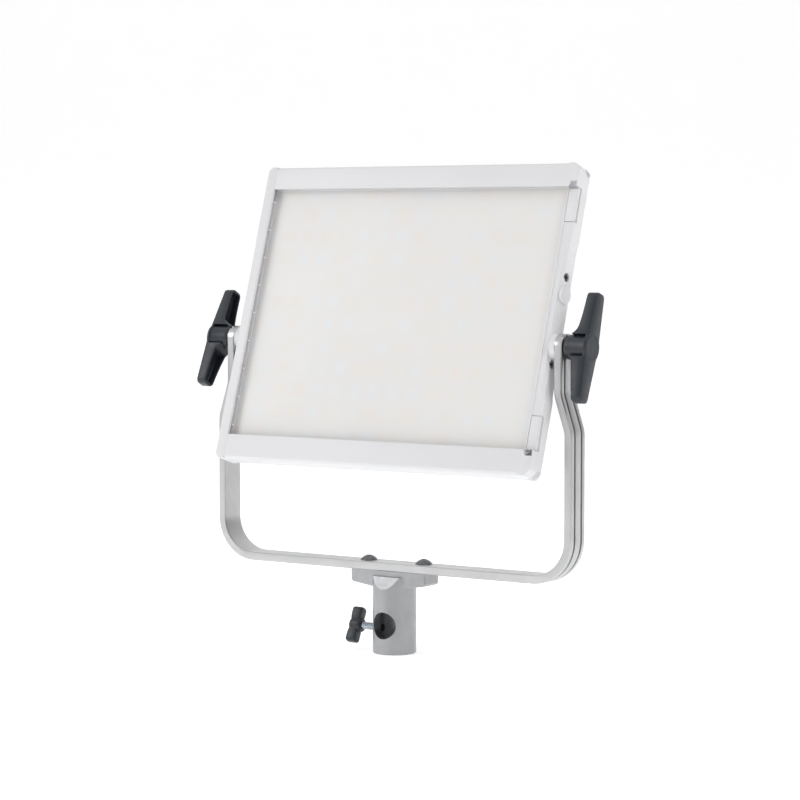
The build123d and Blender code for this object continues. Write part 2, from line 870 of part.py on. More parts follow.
def power_inlet():
    """The round locking power inlet."""
    socket = round_socket(inlet_x, inlet_up)
    for angle_deg in (0, 120, 240):
        angle = radians(angle_deg)
        slot_x = inlet_x + 4.4 * sin(angle)
        slot_up = inlet_up + 4.4 * cos(angle)
        blade = Pos(*head_point(slot_x, housing_back, slot_up)) * Rot(0, angle_deg, 0) * Box(4.6, 16, 1.3)
        socket -= blade
    return socket


# ---- pivots and side details ----
def pivot_inserts():
    """A threaded steel insert in each side rail, in which a handle's stud screws."""
    inserts = []
    for side in (-1, 1):
        start = (side * (recessed_side - insert_length), 0, 0)
        insert = rod(start, (side, 0, 0), insert_length, pivot_hole_radius)
        insert -= rod(start, (side, 0, 0), insert_length, thread_hole_radius)
        inserts.append(insert)
    return group(inserts)


def pivot_spacers():
    """A friction disc between each side rail and its yoke arm."""
    discs = []
    for side in (-1, 1):
        start = (side * recessed_side, 0, 0)
        length = arm_inner - face_gap - recessed_side
        disc = rod(start, (side, 0, 0), length, 13.0)
        disc -= rod(start, (side, 0, 0), length, bush_bore_radius)
        discs.append(disc)
    return group(discs)


def blanking_plugs():
    """Round plugs in the spare pivot holes."""
    plugs = []
    for side in (-1, 1):
        start = head_point(side * recessed_side, pivot_behind_front, spare_pivot_up)
        cap = rod(start, (side, 0, 0), 3.4, 9.3)
        outer = cap.edges().sort_by(Axis.X)[-1 if side > 0 else 0]
        cap = chamfer(outer, 0.8)
        stem_start = head_point(side * (recessed_side - 7), pivot_behind_front, spare_pivot_up)
        cap += rod(stem_start, (side, 0, 0), 7, pivot_hole_radius)
        plugs.append(cap)
    return group(plugs)


def side_screws():
    """The sunk screws that tie the side rails to the cross bars."""
    screws = []
    for side in (-1, 1):
        for up in (-side_hole_offset, side_hole_offset):
            start = head_point(side * (rail_inner + 2.0), pivot_behind_front, up)
            shank_length = recessed_side - 3.0 - rail_inner - 2.0
            screw = rod(start, (side, 0, 0), shank_length, 2.0)
            head_start = head_point(side * (recessed_side - 3.0), pivot_behind_front, up)
            head = rod(head_start, (side, 0, 0), 2.0, 3.8)
            recess_start = head_point(side * (recessed_side - 2.2), pivot_behind_front, up)
            recess = rod(recess_start, (side, 0, 0), 3.0, 1.6)
            screws.append(screw + head - recess)
    return group(screws)


# ---- clamp handles ----
# the clamps stand about one turn backed off, so each washer hangs loose on its stud
washer_slack = 1.1
washer_start = arm_outer + washer_slack
washer_length = 1.6
neck_start = washer_start + washer_length + face_gap


def clamp_washer(side):
    """The steel washer between a handle and its yoke arm."""
    start = (side * washer_start, 0, 0)
    washer = rod(start, (side, 0, 0), washer_length, 11.5)
    washer -= rod(start, (side, 0, 0), washer_length, bush_bore_radius)
    return place_pivot(washer)


def handle_stud(side):
    """The handle's threaded stud, from the handle through the arm into the head's insert."""
    inner_end = recessed_side - insert_length + 0.5
    start = (side * inner_end, 0, 0)
    length = neck_start + 14.0 - inner_end
    return place_pivot(rod(start, (side, 0, 0), length, stud_radius))


def clamp_handle(side, turn_deg):
    """A moulded T-handle: a round hub on a neck, two tapering arms, hollow pockets on the inner side."""
    half_length = handle_length / 2
    root_half = 12.5
    tip_half = 7.8
    tip_chamfer = 4.5
    arm_depth = 15.5
    tip_depth = 11.0
    arms = [
        (-root_half, 0),
        (-tip_half, half_length - tip_chamfer),
        (-tip_half + tip_chamfer, half_length),
        (tip_half - tip_chamfer, half_length),
        (tip_half, half_length - tip_chamfer),
        (root_half, 0),
    ]
    lower = [(-y, -z) for y, z in arms[1:-1]]
    outline = arms + lower
    inner_face = handle_face - arm_depth
    body = prism(Plane.YZ.offset(inner_face), outline, arm_depth)
    body += rod((inner_face, 0, 0), (1, 0, 0), arm_depth, handle_hub_radius)
    for end in (-1, 1):
        taper = [
            (inner_face - 1, end * handle_hub_radius),
            (inner_face, end * handle_hub_radius),
            (handle_face - tip_depth, end * half_length),
            (handle_face - tip_depth, end * (half_length + 1)),
            (inner_face - 1, end * (half_length + 1)),
        ]
        body -= prism(Plane.XZ.offset(-20), taper, 40)
        low = end * 17.0
        high = end * (half_length - 3.5)
        pocket = [(-9.0, low), (-5.4, high), (5.4, high), (9.0, low)]
        body -= prism(Plane.YZ.offset(inner_face - 1), pocket, arm_depth - 3.5)
    body += rod((neck_start, 0, 0), (1, 0, 0), inner_face - neck_start, handle_neck_radius)
    outer_edges = body.faces().sort_by(Axis.X)[-1].edges()
    body = chamfer(outer_edges, 1.4)
    body -= rod((neck_start - 1, 0, 0), (1, 0, 0), 15.0, stud_radius)
    if side < 0:
        body = mirror(body, about=Plane.YZ)
    return place_pivot(body, turn_deg)


# ---- every node ----
def build_all():
    """Write every node."""
    fixed = {
        "yoke_bar": yoke_bar(),
        "yoke_bushes": yoke_bushes(),
        "stand_receiver": stand_receiver(),
        "receiver_bolts": receiver_bolts(),
        "lock_stud": lock_stud(),
        "lock_pad": lock_pad(),
        "lock_knob": lock_knob(),
        "left_handle": clamp_handle(-1, left_handle_turn),
        "right_handle": clamp_handle(1, right_handle_turn),
        "left_handle_stud": handle_stud(-1),
        "right_handle_stud": handle_stud(1),
        "left_clamp_washer": clamp_washer(-1),
        "right_clamp_washer": clamp_washer(1),
    }
    upright = {
        "top_bar": cross_bar(1, upper_edge),
        "bottom_bar": cross_bar(-1, lower_edge),
        "left_rail": left_rail(),
        "right_rail": right_rail(),
        "upper_right_corner": right_corner(1),
        "lower_right_corner": right_corner(-1),
        "gate_pins": group([gate_pin(-1), gate_pin(1)]),
        "upper_gate": accessory_gate(1),
        "lower_gate": accessory_gate(-1),
        "diffuser_sheet": diffuser_sheet(),
        "diffuser_gasket": diffuser_gasket(),
        "mixing_frame": mixing_frame(),
        "led_board": led_board(),
        "led_emitters": led_emitters(),
        "heatsink": heatsink(),
        "heatsink_screws": heatsink_screws(),
        "rear_plate": rear_plate(),
        "rear_housing": rear_housing(),
        "housing_screws": housing_screws(),
        "driver_board": driver_board(),
        "control_board": control_board(),
        "display_module": display_module(),
        "display_window": display_window(),
        "dimmer_knob": control_knob(-knob_spacing),
        "colour_knob": control_knob(knob_spacing),
        "encoder_bushes": encoder_bushes(),
        "menu_button": push_button(button_places[0]),
        "mode_button": push_button(button_places[1]),
        "back_button": push_button(button_places[2]),
        "switch_body": switch_body(),
        "switch_rocker": switch_rocker(),
        "power_inlet": power_inlet(),
        "data_sockets": data_sockets(),
        "pivot_inserts": pivot_inserts(),
        "pivot_spacers": pivot_spacers(),
        "blanking_plugs": blanking_plugs(),
        "side_screws": side_screws(),
    }
    for name, shape in fixed.items():
        save(shape, name)
    for name, shape in upright.items():
        save(place_head(shape), name)


build_all()
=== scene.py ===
"""The looks of the LED panel light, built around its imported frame.

All sizes are metres. Head pieces are drawn upright about the tilt axis and then placed with the head.
"""

import json
import math

import bmesh
import bpy
from mathutils import Matrix, Vector

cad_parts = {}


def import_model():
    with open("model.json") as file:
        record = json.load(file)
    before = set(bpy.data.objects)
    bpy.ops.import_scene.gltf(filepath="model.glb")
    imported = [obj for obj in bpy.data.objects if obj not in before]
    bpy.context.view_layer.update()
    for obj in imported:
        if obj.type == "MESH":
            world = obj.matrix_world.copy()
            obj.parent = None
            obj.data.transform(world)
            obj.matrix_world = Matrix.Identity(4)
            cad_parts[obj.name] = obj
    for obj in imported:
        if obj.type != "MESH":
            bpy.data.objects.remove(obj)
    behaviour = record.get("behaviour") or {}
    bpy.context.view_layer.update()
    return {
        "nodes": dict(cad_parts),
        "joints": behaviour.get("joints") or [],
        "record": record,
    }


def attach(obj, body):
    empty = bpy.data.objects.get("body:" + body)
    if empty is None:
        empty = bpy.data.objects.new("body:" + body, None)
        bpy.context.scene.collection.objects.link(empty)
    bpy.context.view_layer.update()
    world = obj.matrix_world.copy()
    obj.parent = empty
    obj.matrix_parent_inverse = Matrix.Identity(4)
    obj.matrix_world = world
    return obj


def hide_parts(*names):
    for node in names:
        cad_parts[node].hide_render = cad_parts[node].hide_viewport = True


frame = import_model()

MM = 0.001
joints = {joint["name"]: joint for joint in frame["joints"]}
pivot = Vector(joints["head_tilt"]["pos_m"])
head_up = Vector(joints["upper_gate_swing"]["axis"]).normalized()
head_right = Vector((1, 0, 0))
head_back = head_up.cross(head_right)
head_matrix = Matrix.Translation(pivot) @ Matrix((head_right, head_back, head_up)).transposed().to_4x4()


# ---- materials ----
class Material:
    """A node material with short ways to add what most finishes share."""

    def __init__(self, name, colour, roughness, metallic=0.0):
        self.material = bpy.data.materials.new(name)
        self.material.use_nodes = True
        self.tree = self.material.node_tree
        self.shader = self.tree.nodes["Principled BSDF"]
        self.shader.inputs["Base Color"].default_value = (*colour, 1)
        self.shader.inputs["Roughness"].default_value = roughness
        self.shader.inputs["Metallic"].default_value = metallic
        self.colour = colour
        self.roughness = roughness
        self.place = self.node("ShaderNodeTexCoord").outputs["Object"]
        self.normal = None

    def node(self, kind, **settings):
        node = self.tree.nodes.new(kind)
        for key, value in settings.items():
            setattr(node, key, value)
        return node

    def link(self, source, target):
        self.tree.links.new(source, target)

    def math(self, operation, first, second=None, clamp=False):
        node = self.node("ShaderNodeMath", operation=operation, use_clamp=clamp)
        for socket, value in zip(node.inputs, (first, second)):
            if value is None:
                continue
            if isinstance(value, (int, float)):
                socket.default_value = value
            else:
                self.link(value, socket)
        return node.outputs[0]

    def noise(self, scale, detail=3.0, stretch=(1, 1, 1), roughness=0.5):
        """Noise in the object's own space; scale is in cycles per metre."""
        mapping = self.node("ShaderNodeMapping")
        mapping.inputs["Scale"].default_value = stretch
        self.link(self.place, mapping.inputs["Vector"])
        noise = self.node("ShaderNodeTexNoise")
        noise.inputs["Scale"].default_value = scale
        noise.inputs["Detail"].default_value = detail
        noise.inputs["Roughness"].default_value = roughness
        self.link(mapping.outputs[0], noise.inputs["Vector"])
        return noise.outputs["Fac"]

    def ranged(self, value, low, high, from_low=0.3, from_high=0.7):
        node = self.node("ShaderNodeMapRange")
        node.inputs["From Min"].default_value = from_low
        node.inputs["From Max"].default_value = from_high
        node.inputs["To Min"].default_value = low
        node.inputs["To Max"].default_value = high
        self.link(value, node.inputs["Value"])
        return node.outputs[0]

    def mix(self, factor, first, second):
        node = self.node("ShaderNodeMix", data_type="RGBA")
        self.link(factor, node.inputs["Factor"])
        for socket, value in ((node.inputs[6], first), (node.inputs[7], second)):
            if isinstance(value, tuple):
                socket.default_value = (*value, 1)
            else:
                self.link(value, socket)
        return node.outputs[2]

    def bump(self, height, strength, distance):
        node = self.node("ShaderNodeBump")
        node.inputs["Strength"].default_value = strength
        node.inputs["Distance"].default_value = distance
        self.link(height, node.inputs["Height"])
        if self.normal is not None:
            self.link(self.normal, node.inputs["Normal"])
        self.normal = node.outputs[0]
        self.link(self.normal, self.shader.inputs["Normal"])

    def edge_wear_and_shading_mask(self, radius):
        """One along convex and concave edges, nought on flats, broken up by noise: where edge wear and painted
        edge highlights and shade are laid.
        """
        bevel = self.node("ShaderNodeBevel", samples=4)
        bevel.inputs["Radius"].default_value = radius
        true_normal = self.node("ShaderNodeNewGeometry").outputs["Normal"]
        dot = self.node("ShaderNodeVectorMath", operation="DOT_PRODUCT")
        self.link(bevel.outputs[0], dot.inputs[0])
        self.link(true_normal, dot.inputs[1])
        edge = self.ranged(dot.outputs["Value"], 1.0, 0.0, 0.75, 0.995)
        edge_wear_and_shading_patches = self.ranged(self.noise(420, 6.0), 0.0, 1.0, 0.42, 0.62)
        return self.math("MULTIPLY", edge, edge_wear_and_shading_patches, clamp=True)

    def tint(self, amount, scale, edge_wear_and_shading=None, edge_wear_and_shading_radius=0.0008, edge_wear_and_shading_amount=0.5, stretch=(1, 1, 1)):
        """Slow colour variation, and edges in another colour: partly worn edges, partly painted shading (a
        lighter edge colour paints highlights, a darker one paints shade along edges and in creases).
        """
        dark = tuple(c * (1 - amount) for c in self.colour)
        light = tuple(min(1.0, c * (1 + amount)) for c in self.colour)
        blotch = self.ranged(self.noise(scale, 4.0, stretch), 0.0, 1.0)
        colour = self.mix(blotch, dark, light)
        # The edge colour is partly wear, partly painted highlight or shade along convex edges and in creases,
        # following the colour given.
        if edge_wear_and_shading:
            mask = self.math("MULTIPLY", self.edge_wear_and_shading_mask(edge_wear_and_shading_radius), edge_wear_and_shading_amount)
            colour = self.mix(mask, colour, edge_wear_and_shading)
        self.link(colour, self.shader.inputs["Base Color"])

    def uneven_gloss(self, amount, scale, stretch=(1, 1, 1)):
        """Roughness that wanders about its middle value."""
        spread = self.noise(scale, 5.0, stretch, 0.6)
        value = self.ranged(spread, self.roughness - amount, self.roughness + amount)
        self.link(value, self.shader.inputs["Roughness"])

    def set(self, socket, value):
        self.shader.inputs[socket].default_value = value


def powder_coat():
    m = Material("white_powder_coat", (0.80, 0.80, 0.815), 0.46)
    # The darker edge colour is partly wear, partly painted shade along edges and in creases.
    m.tint(0.012, 9.0, edge_wear_and_shading=(0.70, 0.70, 0.72), edge_wear_and_shading_amount=0.35)
    m.uneven_gloss(0.06, 35.0)
    m.bump(m.noise(1500, 2.0), 0.10, 0.0002)
    m.bump(m.noise(260, 2.0), 0.05, 0.0006)
    return m.material


def white_moulding():
    m = Material("white_moulding", (0.79, 0.79, 0.805), 0.52)
    # The lighter edge colour is partly wear, partly painted highlights along edges and in creases.
    m.tint(0.015, 14.0, edge_wear_and_shading=(0.86, 0.86, 0.87), edge_wear_and_shading_amount=0.3)
    m.uneven_gloss(0.06, 60.0)
    m.bump(m.noise(3400, 2.0), 0.12, 0.00012)
    return m.material


def opal_sheet():
    """Milky sheet with the faint, soft grid of warm and cool emitters showing through."""
    m = Material("opal_sheet", (0.84, 0.825, 0.80), 0.38)
    pitch = 0.024
    up_axis = m.node("ShaderNodeVectorMath", operation="DOT_PRODUCT")
    up_axis.inputs[1].default_value = head_up
    m.link(m.place, up_axis.inputs[0])
    split = m.node("ShaderNodeSeparateXYZ")
    m.link(m.place, split.inputs[0])
    across = m.math("DIVIDE", split.outputs["X"], pitch)
    along = m.math("DIVIDE", up_axis.outputs["Value"], pitch)
    cell = m.node("ShaderNodeCombineXYZ")
    m.link(m.math("FLOOR", across), cell.inputs["X"])
    m.link(m.math("FLOOR", along), cell.inputs["Y"])
    lot = m.node("ShaderNodeTexWhiteNoise", noise_dimensions="2D")
    m.link(cell.outputs[0], lot.inputs["Vector"])
    spot = m.math("MULTIPLY", soft_bump(m, across), soft_bump(m, along))
    kind = m.node("ShaderNodeValToRGB")
    stops = kind.color_ramp.elements
    stops[0].color = (0.86, 0.79, 0.74, 1)
    stops[1].position = 0.75
    stops[1].color = (0.82, 0.84, 0.86, 1)
    middle = stops.new(0.4)
    middle.color = (0.85, 0.83, 0.77, 1)
    m.link(lot.outputs["Value"], kind.inputs["Fac"])
    ground = m.mix(m.ranged(m.noise(5.0, 2.0), 0.0, 1.0), (0.83, 0.815, 0.795), (0.85, 0.84, 0.82))
    strength = m.math("MULTIPLY", spot, 0.55)
    m.link(m.mix(strength, ground, kind.outputs["Color"]), m.shader.inputs["Base Color"])
    m.uneven_gloss(0.05, 20.0)
    m.bump(m.noise(2600, 2.0), 0.08, 0.0001)
    m.set("Subsurface Weight", 0.25)
    m.set("Subsurface Radius", (0.004, 0.004, 0.0035))
    m.set("Subsurface Scale", 1.0)
    return m.material


def soft_bump(m, coordinate):
    """A smooth hill in each cell of a repeating coordinate."""
    inside = m.math("FRACT", coordinate)
    centred = m.math("ABSOLUTE", m.math("SUBTRACT", inside, 0.5))
    node = m.node("ShaderNodeMapRange", interpolation_type="SMOOTHSTEP")
    node.inputs["From Min"].default_value = 0.46
    node.inputs["From Max"].default_value = 0.12
    m.link(centred, node.inputs["Value"])
    return node.outputs[0]


def satin_aluminium():
    m = Material("satin_aluminium", (0.54, 0.54, 0.545), 0.36, 1.0)
    # The lighter edge colour is partly wear, partly painted highlights along edges and in creases.
    m.tint(0.05, 24.0, edge_wear_and_shading=(0.86, 0.86, 0.87), edge_wear_and_shading_radius=0.0006, edge_wear_and_shading_amount=0.6)
    m.uneven_gloss(0.07, 120.0)
    m.bump(m.noise(2200, 3.0), 0.22, 0.00012)
    m.bump(m.noise(90, 6.0, (1, 6, 1)), 0.05, 0.0004)
    return m.material


def blasted_aluminium():
    m = Material("blasted_aluminium", (0.40, 0.405, 0.415), 0.42, 1.0)
    # The much lighter edge colour is partly wear, partly painted highlights that round off the edges and light
    # the creases.
    m.tint(0.07, 40.0, edge_wear_and_shading=(0.82, 0.82, 0.83), edge_wear_and_shading_radius=0.0006, edge_wear_and_shading_amount=0.7)
    m.uneven_gloss(0.08, 200.0)
    m.bump(m.noise(1500, 4.0), 0.35, 0.00018)
    return m.material


def metal(name, colour, roughness, grain=1800, bump=0.12):
    m = Material(name, colour, roughness, 1.0)
    # The lighter edge colour is partly wear, partly painted highlights along edges and in creases.
    m.tint(0.08, 150.0, edge_wear_and_shading=tuple(min(1, c * 1.4 + 0.05) for c in colour), edge_wear_and_shading_radius=0.0003)
    m.uneven_gloss(min(0.1, roughness * 0.4), 500.0)
    m.bump(m.noise(grain, 3.0), bump, 0.00008)
    return m.material


def moulded(name, colour, roughness, grain=2600, bump=0.25, edge_wear_and_shading=None):
    m = Material(name, colour, roughness)
    # The lighter edge colour is partly wear, partly painted highlights along edges and in creases.
    edge_wear_and_highlight = edge_wear_and_shading or tuple(min(1, c * 1.7 + 0.015) for c in colour)
    m.tint(0.14, 60.0, edge_wear_and_shading=edge_wear_and_highlight, edge_wear_and_shading_radius=0.0009, edge_wear_and_shading_amount=0.55)
    m.uneven_gloss(0.07, 160.0)
    m.bump(m.noise(grain, 3.0), bump, 0.00014)
    return m.material


def foam():
    m = Material("foam", (0.05, 0.05, 0.052), 0.85)
    m.tint(0.3, 900.0)
    m.bump(m.noise(2400, 5.0), 0.6, 0.0004)
    return m.material


def circuit_board(name, colour, track):
    m = Material(name, colour, 0.35)
    lines = m.ranged(m.noise(240, 1.0, (1, 0.2, 1)), 0.0, 1.0, 0.49, 0.51)
    m.link(m.mix(lines, colour, track), m.shader.inputs["Base Color"])
    m.uneven_gloss(0.08, 300.0)
    m.bump(lines, 0.2, 0.00005)
    m.set("Coat Weight", 0.4)
    return m.material


def emitter():
    m = Material("emitter", (0.93, 0.76, 0.33), 0.3)
    m.tint(0.1, 700.0)
    m.uneven_gloss(0.06, 900.0)
    m.bump(m.noise(2000, 2.0), 0.1, 0.0001)
    m.set("Coat Weight", 0.6)
    return m.material


def dark_window():
    m = Material("dark_window", (0.012, 0.015, 0.02), 0.08)
    m.tint(0.2, 60.0)
    m.uneven_gloss(0.03, 220.0)
    m.bump(m.noise(40, 2.0), 0.02, 0.0003)
    m.set("Coat Weight", 1.0)
    m.set("Coat Roughness", 0.03)
    return m.material


WHITE = powder_coat()
MOULDING = white_moulding()
OPAL = opal_sheet()
SATIN = satin_aluminium()
BLASTED = blasted_aluminium()
ZINC = metal("zinc_steel", (0.55, 0.60, 0.66), 0.24)
BOLT_STEEL = metal("bolt_steel", (0.17, 0.175, 0.185), 0.22, bump=0.06)
BLACK_STEEL = metal("black_steel", (0.10, 0.105, 0.11), 0.38)
STAINLESS = metal("stainless", (0.60, 0.60, 0.59), 0.28)
BRASS = metal("brass", (0.72, 0.52, 0.22), 0.3)
BLACK_ANODISED = metal("black_anodised", (0.045, 0.045, 0.05), 0.45)
HANDLE = moulded("handle_moulding", (0.021, 0.026, 0.034), 0.40)
BLACK = moulded("black_moulding", (0.022, 0.022, 0.025), 0.5)
ACETAL = moulded("black_acetal", (0.02, 0.02, 0.021), 0.36, bump=0.08)
RUBBER = moulded("soft_rubber", (0.035, 0.035, 0.038), 0.72, 3200, 0.35)
# Its lighter edge colour is partly wear, partly painted highlights along edges and in creases.
REFLECTOR = moulded("white_reflector", (0.88, 0.88, 0.88), 0.7, edge_wear_and_shading=(0.92, 0.92, 0.92))
FOAM = foam()
BOARD_WHITE = circuit_board("board_white", (0.80, 0.80, 0.77), (0.72, 0.72, 0.70))
BOARD_GREEN = circuit_board("board_green", (0.02, 0.13, 0.06), (0.04, 0.22, 0.10))
EMITTER = emitter()
WINDOW = dark_window()


# ---- mesh helpers ----
def finished(mesh_object, sharp_deg=32.0):
    """Apply the modifiers, and shade smooth with creases at sharp edges."""
    bpy.context.view_layer.update()
    graph = bpy.context.evaluated_depsgraph_get()
    mesh = bpy.data.meshes.new_from_object(mesh_object.evaluated_get(graph))
    mesh_object.modifiers.clear()
    old = mesh_object.data
    mesh_object.data = mesh
    bpy.data.meshes.remove(old)
    mesh.shade_smooth()
    mesh.set_sharp_from_angle(angle=math.radians(sharp_deg))
    return mesh_object


def piece_from(name, bm, body, material, matrix=None):
    """A new object from a bmesh, riding on a CAD body."""
    if matrix is not None:
        bm.transform(matrix)
    bmesh.ops.recalc_face_normals(bm, faces=bm.faces)
    mesh = bpy.data.meshes.new(name)
    bm.to_mesh(mesh)
    bm.free()
    obj = bpy.data.objects.new(name, mesh)
    bpy.context.scene.collection.objects.link(obj)
    mesh.materials.append(material)
    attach(obj, body)
    return obj


def bevelled(obj, width, segments=3, angle_deg=28.0):
    """Round an object's sharp edges."""
    bevel = obj.modifiers.new("bevel", "BEVEL")
    bevel.width = width
    bevel.segments = segments
    bevel.limit_method = "ANGLE"
    bevel.angle_limit = math.radians(angle_deg)
    bevel.use_clamp_overlap = True
    return finished(obj, 29.0)


def combined(obj, other, operation):
    """Join another mesh to an object, or cut it away."""
    boolean = obj.modifiers.new("boolean", "BOOLEAN")
    boolean.operation = operation
    boolean.solver = "EXACT"
    boolean.object = other
    finished(obj)
    mesh = other.data
    bpy.data.objects.remove(other)
    bpy.data.meshes.remove(mesh)


def loose_object(bm):
    """A helper object for a boolean, thrown away afterwards."""
    bmesh.ops.recalc_face_normals(bm, faces=bm.faces)
    mesh = bpy.data.meshes.new("helper")
    bm.to_mesh(mesh)
    bm.free()
    obj = bpy.data.objects.new("helper", mesh)
    bpy.context.scene.collection.objects.link(obj)
    return obj


def loft(sections):
    """A closed mesh through rings of points that all have the same count."""
    bm = bmesh.new()
    rings = [[bm.verts.new(point) for point in section] for section in sections]
    count = len(rings[0])
    for near, far in zip(rings, rings[1:]):
        for i in range(count):
            j = (i + 1) % count
            bm.faces.new((near[i], near[j], far[j], far[i]))
    bm.faces.new(rings[0])
    bm.faces.new(rings[-1])
    return bm


def lathe(profile, steps=64):
    """A closed mesh turned about the X axis from (x, radius) points."""
    sections = []
    for x, radius in profile:
        turn = [2 * math.pi * i / steps for i in range(steps)]
        sections.append([(x, radius * math.cos(t), radius * math.sin(t)) for t in turn])
    return loft(sections)


node_body = {node: body for body, nodes in frame["record"]["behaviour"]["bodies"].items() for node in nodes}


def softened(node, width, material, segments=3):
    """A copy of a CAD node with rounded edges, standing for it."""
    bm = bmesh.new()
    bm.from_mesh(frame["nodes"][node].data)
    bmesh.ops.remove_doubles(bm, verts=bm.verts, dist=1e-6)
    bmesh.ops.dissolve_limit(bm, angle_limit=math.radians(0.6), verts=bm.verts, edges=bm.edges)
    obj = piece_from(node + "_shell", bm, node_body[node], material)
    bevelled(obj, width, segments)
    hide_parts(node)
    return obj


def dress(node, material):
    """Give a CAD node that stays a better material."""
    for slot in frame["nodes"][node].material_slots:
        slot.link = "OBJECT"
        slot.material = material


SOFTENED = [
    ("top_bar", 0.6, WHITE),
    ("bottom_bar", 0.6, WHITE),
    ("left_rail", 0.6, WHITE),
    ("right_rail", 0.5, WHITE),
    ("upper_right_corner", 0.5, MOULDING),
    ("lower_right_corner", 0.5, MOULDING),
    ("upper_gate", 0.3, MOULDING),
    ("lower_gate", 0.3, MOULDING),
    ("rear_plate", 0.3, WHITE),
    ("rear_housing", 0.5, MOULDING),
    ("yoke_bar", 0.35, SATIN),
    ("blanking_plugs", 0.4, MOULDING),
    ("switch_body", 0.3, BLACK),
    ("switch_rocker", 0.4, BLACK),
]
for node, width_mm, material in SOFTENED:
    softened(node, width_mm * MM, material)

def half_width_at(along, length, root, tip, hub):
    """A clamp handle's half width: two tapering arms that meet in a round middle."""
    out = abs(along)
    half = root + (tip - root) * out / length
    if out < hub:
        half = max(half, math.sqrt(hub * hub - out * out))
    corner = 5.0 * MM
    past = out - (length - corner)
    if past > 0:
        half -= corner - math.sqrt(max(0.0, corner * corner - past * past))
    return half


def channel_section(along, half, inner, face, wall, depth):
    """One slice of a handle's arm: rounded outside, with a channel sunk in its inner side."""
    soft = 1.1 * MM
    mid = 0.32 * MM
    rim = 0.45 * MM
    floor = inner + depth
    room = half - wall
    lip = min(rim, depth)
    corner = min(0.9 * MM, depth * 0.5)
    side = [
        (half - soft, face),
        (half - mid, face - mid),
        (half, face - soft),
        (half, inner + rim),
        (half - 0.13 * MM, inner + 0.13 * MM),
        (half - rim, inner),
        (room + rim * 0.6, inner),
        (room, inner + lip),
        (room - corner * 0.25, floor - corner),
        (room - corner, floor - corner * 0.25),
        (room - 2 * corner - 0.3 * MM, floor),
    ]
    other = [(-w, x) for w, x in reversed(side)]
    return [(x, w, along) for w, x in side + other]


def handle_depth(along, length, root_end):
    """How thick an arm is: thin at its tip, thicker and flared where it meets the hub."""
    share = (length - along) / (length - root_end)
    flare = max(0.0, 1 - (along - root_end) / (8.0 * MM))
    return (10.8 + 1.6 * share + 3.0 * share**4 + 4.2 * flare**2) * MM


def clamp_handle(node, side, turn_deg):
    """A moulded T-handle: a round hub between two hollow arms, under one front plate."""
    length = 56.0 * MM
    hub_radius = 13.1 * MM
    plate = 3.2 * MM
    root_end = 11.3 * MM
    face = 0.235
    neck = 0.2099
    pocket_start = 17.5 * MM
    pocket_end = length - 3.6 * MM
    front_wall = 3.4 * MM
    outer = [0.0, 2.5, 5.0, 6.8, 8.4, 10.0, 11.29]
    arm = [11.3, 12.4, 13.4, 14.6, 16.0, 17.2, 17.5, 18.0, 19.5, 21.0, 24.0, 28.0, 32.0, 36.0, 40.0, 44.0, 48.0]
    tip = [50.0, 51.2, 52.0, 52.4, 53.2, 54.0, 54.7, 55.2, 55.6, 55.9, 56.0]
    one_side = [value * MM for value in outer + arm + tip]
    stations = [-value for value in reversed(one_side[1:])] + one_side
    sections = []
    for along in stations:
        out = abs(along)
        half = half_width_at(along, length, 12.5 * MM, 7.8 * MM, 14.6 * MM)
        front = face
        past = out - (length - 1.2 * MM)
        if past > 0:
            front = face - 0.9 * MM * (past / (1.2 * MM)) ** 2
        if out < root_end:
            inner = face - plate
        else:
            inner = face - handle_depth(out, length, root_end)
            if past > 0:
                inner += 0.7 * MM * (past / (1.2 * MM)) ** 2
        depth = 0.0
        if pocket_start <= out <= pocket_end:
            ease = min(1.0, (out - pocket_start + 0.35 * MM) / (0.9 * MM))
            ease = min(ease, (pocket_end - out + 0.35 * MM) / (0.9 * MM))
            depth = (face - front_wall - inner) * ease
        sections.append(channel_section(along, half, inner, front, 1.9 * MM, depth))
    handle = piece_from(node + "_grip", loft(sections), node_body[node], HANDLE)
    hub = [
        (neck, 11.6 * MM),
        (neck + 0.7 * MM, 12.5 * MM),
        (neck + 2.6 * MM, hub_radius - 0.1 * MM),
        (neck + 3.4 * MM, hub_radius),
        (face - plate - 1.2 * MM, hub_radius),
        (face - plate + 0.4 * MM, hub_radius + 0.7 * MM),
        (face - 1.6 * MM, hub_radius + 0.7 * MM),
    ]
    combined(handle, loose_object(lathe(hub)), "UNION")
    bore = [(neck - 1 * MM, 4.0 * MM), (neck + 14.2 * MM, 4.0 * MM)]
    combined(handle, loose_object(lathe(bore, 32)), "DIFFERENCE")
    ring = lathe_ring(face, 11.9 * MM, 0.5 * MM, 0.3 * MM)
    combined(handle, loose_object(ring), "DIFFERENCE")
    turn = Matrix.Rotation(-math.radians(turn_deg), 4, "X")
    flip = Matrix.Scale(-1, 4, (1, 0, 0)) if side < 0 else Matrix.Identity(4)
    handle.data.transform(Matrix.Translation((0, 0, pivot.z)) @ turn @ flip)
    if side < 0:
        handle.data.flip_normals()
    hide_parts(node)


def lathe_ring(face, radius, width, depth, steps=72):
    """A thin ring about the X axis, used to cut a fine line in a face."""
    bm = bmesh.new()
    corners = [
        (face - depth, radius - width / 2),
        (face + depth, radius - width / 2),
        (face + depth, radius + width / 2),
        (face - depth, radius + width / 2),
    ]
    rings = []
    for i in range(steps):
        t = 2 * math.pi * i / steps
        rings.append([bm.verts.new((x, r * math.cos(t), r * math.sin(t))) for x, r in corners])
    for i in range(steps):
        near = rings[i]
        far = rings[(i + 1) % steps]
        for k in range(4):
            m = (k + 1) % 4
            bm.faces.new((near[k], near[m], far[m], far[k]))
    return bm


